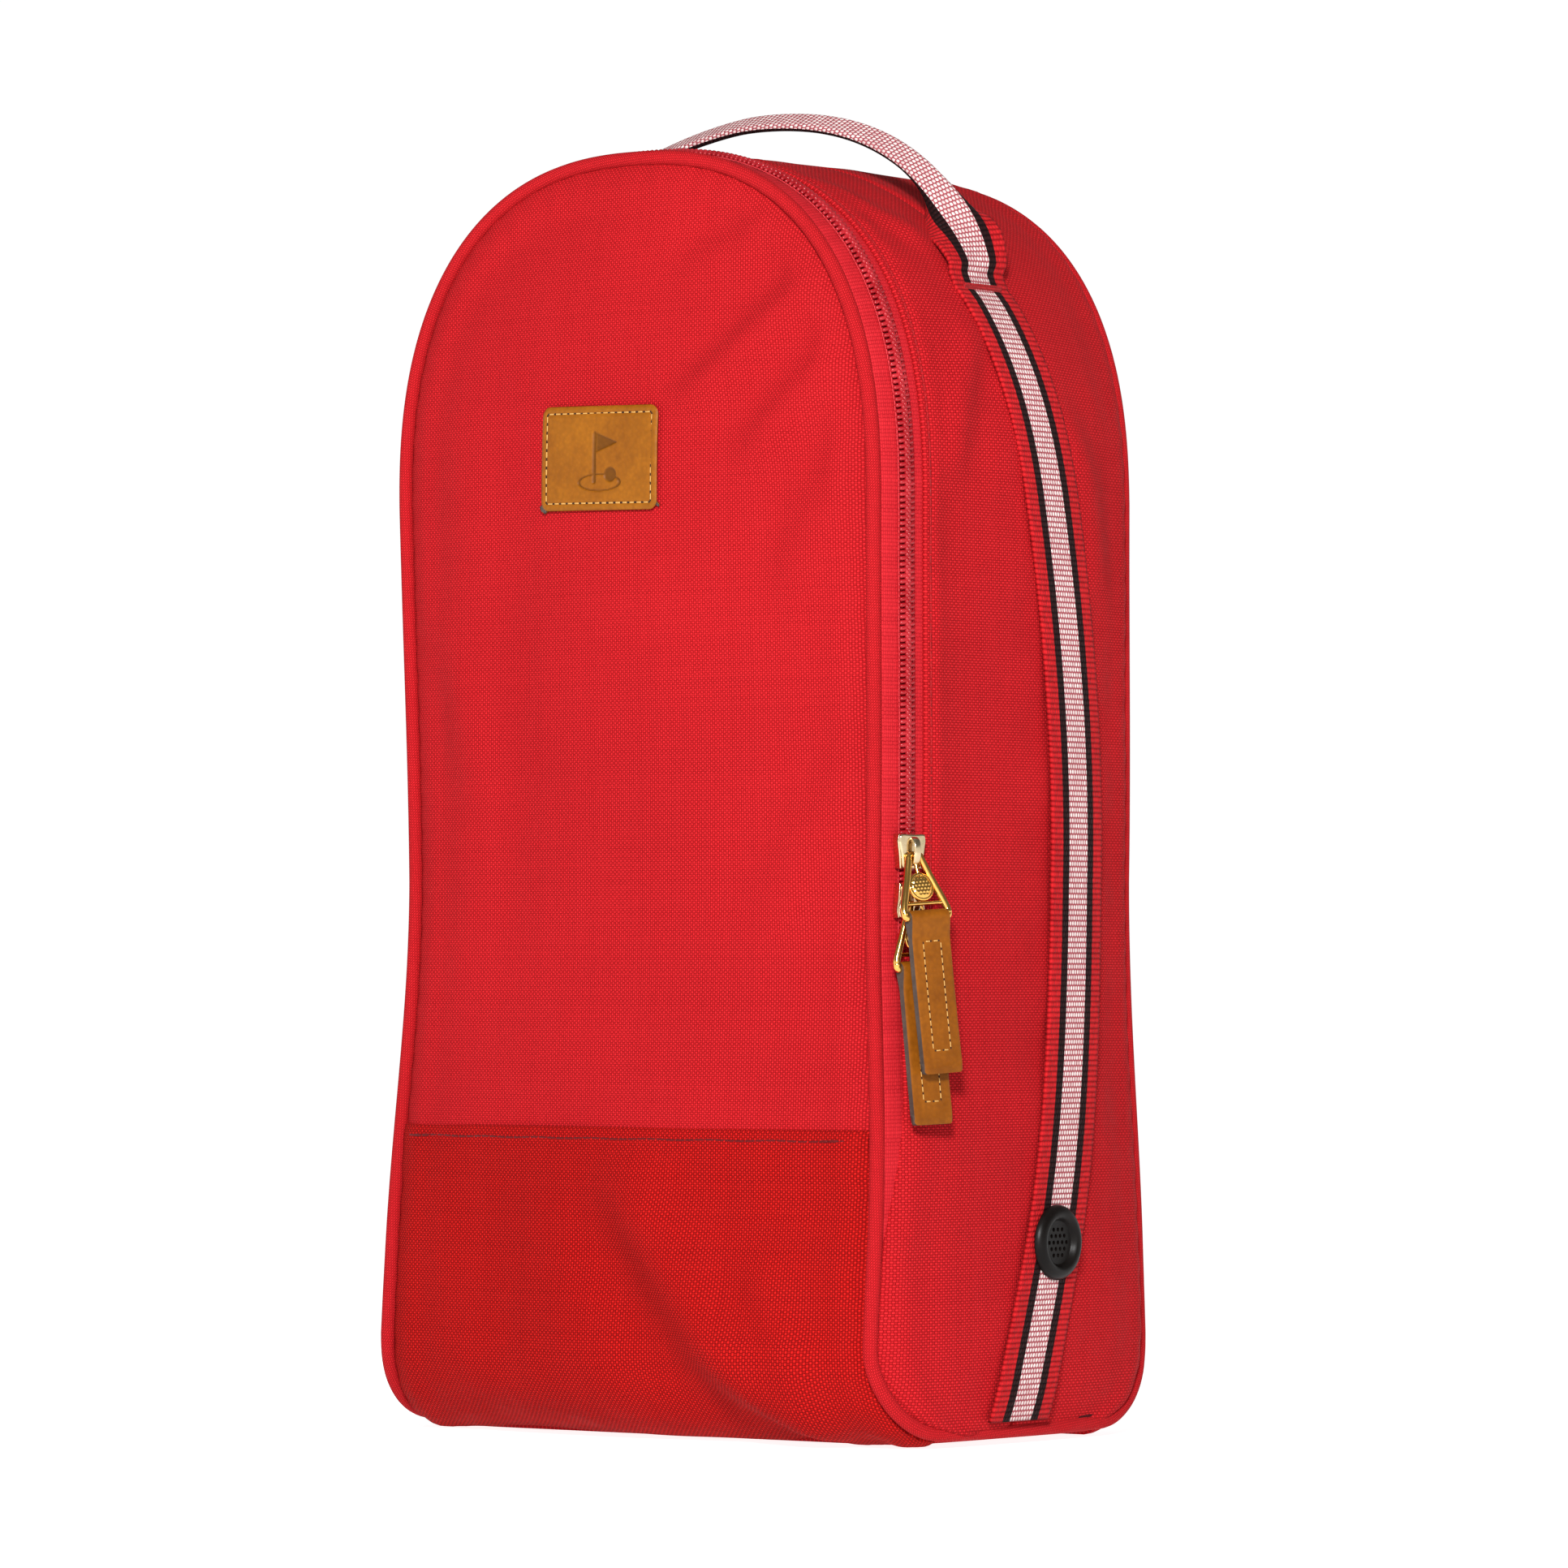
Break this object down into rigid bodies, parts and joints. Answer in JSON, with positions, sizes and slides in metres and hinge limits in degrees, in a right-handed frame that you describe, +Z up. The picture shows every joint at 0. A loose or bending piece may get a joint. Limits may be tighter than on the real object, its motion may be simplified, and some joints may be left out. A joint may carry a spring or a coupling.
{
  "type": "golf shoe bag",
  "caption": "Upright arched golf shoe bag with a padded gusset, a zip over the arch, side webbing that forms the carry handle, side vents and a leather patch.",
  "frame": {"origin": "centre of the flat base, on the surface the bag stands on", "axes": "+Z up, front panel faces -Y, +X is the side where the closed zip's two sliders are parked"},
  "size_m": [0.2075, 0.1442, 0.386],
  "materials": {
    "red_fabric": "padded plain-weave polyester",
    "red_melange": "coarser two-tone weave",
    "zip_tape": "woven zip tape",
    "zip_coil": "satin nylon coil",
    "webbing": "ribbed polyester webbing, red edges, black lines, pale pink centre",
    "thread": "stitched thread",
    "tan_leather": "smooth tan leather, stitched",
    "black_plastic": "satin moulded plastic",
    "gold_metal": "polished gold plate",
    "slider_metal": "polished cast metal",
    "binding": "woven binding tape"
  },
  "bodies": {
    "body": {"front_panel_lower": "red_fabric", "front_contrast_panel": "red_melange", "back_panel": "red_fabric", "front_gusset": "red_fabric", "rear_gusset": "red_fabric", "base_panel": "red_fabric", "front_piping_right": "red_fabric", "front_piping_left": "red_fabric", "back_piping": "red_fabric", "front_seam_binding_right": "binding", "front_seam_binding_left": "binding", "back_seam_binding": "binding", "zip_front_tape_end_right": "zip_tape", "zip_front_tape_end_left": "zip_tape", "zip_rear_tape": "zip_tape", "zip_front_coil_end_right": "zip_coil", "zip_front_coil_end_left": "zip_coil", "zip_rear_coil": "zip_coil", "zip_stop_right": "zip_coil", "zip_stop_left": "zip_coil", "webbing_right": "webbing", "webbing_left": "webbing", "bar_tack_right": "thread", "bar_tack_left": "thread", "vent_eyelet_right": "black_plastic", "vent_eyelet_left": "black_plastic", "vent_washer_right": "black_plastic", "vent_washer_left": "black_plastic"},
    "flap": {"front_panel_flap": "red_fabric", "front_piping_flap": "red_fabric", "flap_seam_binding": "binding", "zip_front_tape": "zip_tape", "zip_front_coil": "zip_coil", "leather_patch": "tan_leather"},
    "slider_a": {"slider_a": "slider_metal"},
    "slider_b": {"slider_b": "slider_metal"},
    "pull_a": {"pull_a": "gold_metal"},
    "pull_b": {"pull_b": "gold_metal"},
    "tab_a": {"tab_a": "tan_leather"},
    "tab_b": {"tab_b": "tan_leather"},
    "handle": {"handle": "webbing"}
  },
  "joints": [
    {"name": "flap_fold", "type": "hinge", "parent": "body", "child": "flap", "pos_m": [0, -0.06901, 0.176], "axis": [1, 0, 0], "range_deg": [0, 110]},
    {"name": "slider_a_travel", "type": "slide", "parent": "body", "child": "slider_a", "axis": [0.0182, -0.0197, 0.9996], "range_m": [0, 0.09]},
    {"name": "slider_b_travel", "type": "slide", "parent": "body", "child": "slider_b", "axis": [-0.0151, 0.001, 0.9999], "range_m": [-0.002, 0]},
    {"name": "pull_a_swing", "type": "hinge", "parent": "slider_a", "child": "pull_a", "pos_m": [0.09326, -0.0497, 0.16666], "axis": [-0.3055, -0.95, -0.0642], "range_deg": [0, 120]},
    {"name": "pull_b_swing", "type": "hinge", "parent": "slider_b", "child": "pull_b", "pos_m": [0.0932, -0.04977, 0.1529], "axis": [-0.3042, -0.9518, -0.0386], "range_deg": [0, 120]},
    {"name": "tab_a_swing", "type": "hinge", "parent": "pull_a", "child": "tab_a", "pos_m": [0.09832, -0.05016, 0.14939], "axis": [-0.3055, -0.95, -0.0642], "range_deg": [0, 60]},
    {"name": "tab_b_swing", "type": "hinge", "parent": "pull_b", "child": "tab_b", "pos_m": [0.09485, -0.04958, 0.13498], "axis": [-0.3042, -0.9518, -0.0386], "range_deg": [0, 60]},
    {"name": "handle_lean", "type": "hinge", "parent": "body", "child": "handle", "pos_m": [0, -0.00717, 0.332], "axis": [1, 0, 0], "range_deg": [-22, 22], "stiffness_Nm_per_rad": 0.02}
  ],
  "couplings": [
    {"joint": "pull_b_swing", "follows": "pull_a_swing", "ratio": 1},
    {"joint": "tab_b_swing", "follows": "tab_a_swing", "ratio": 1}
  ]
}
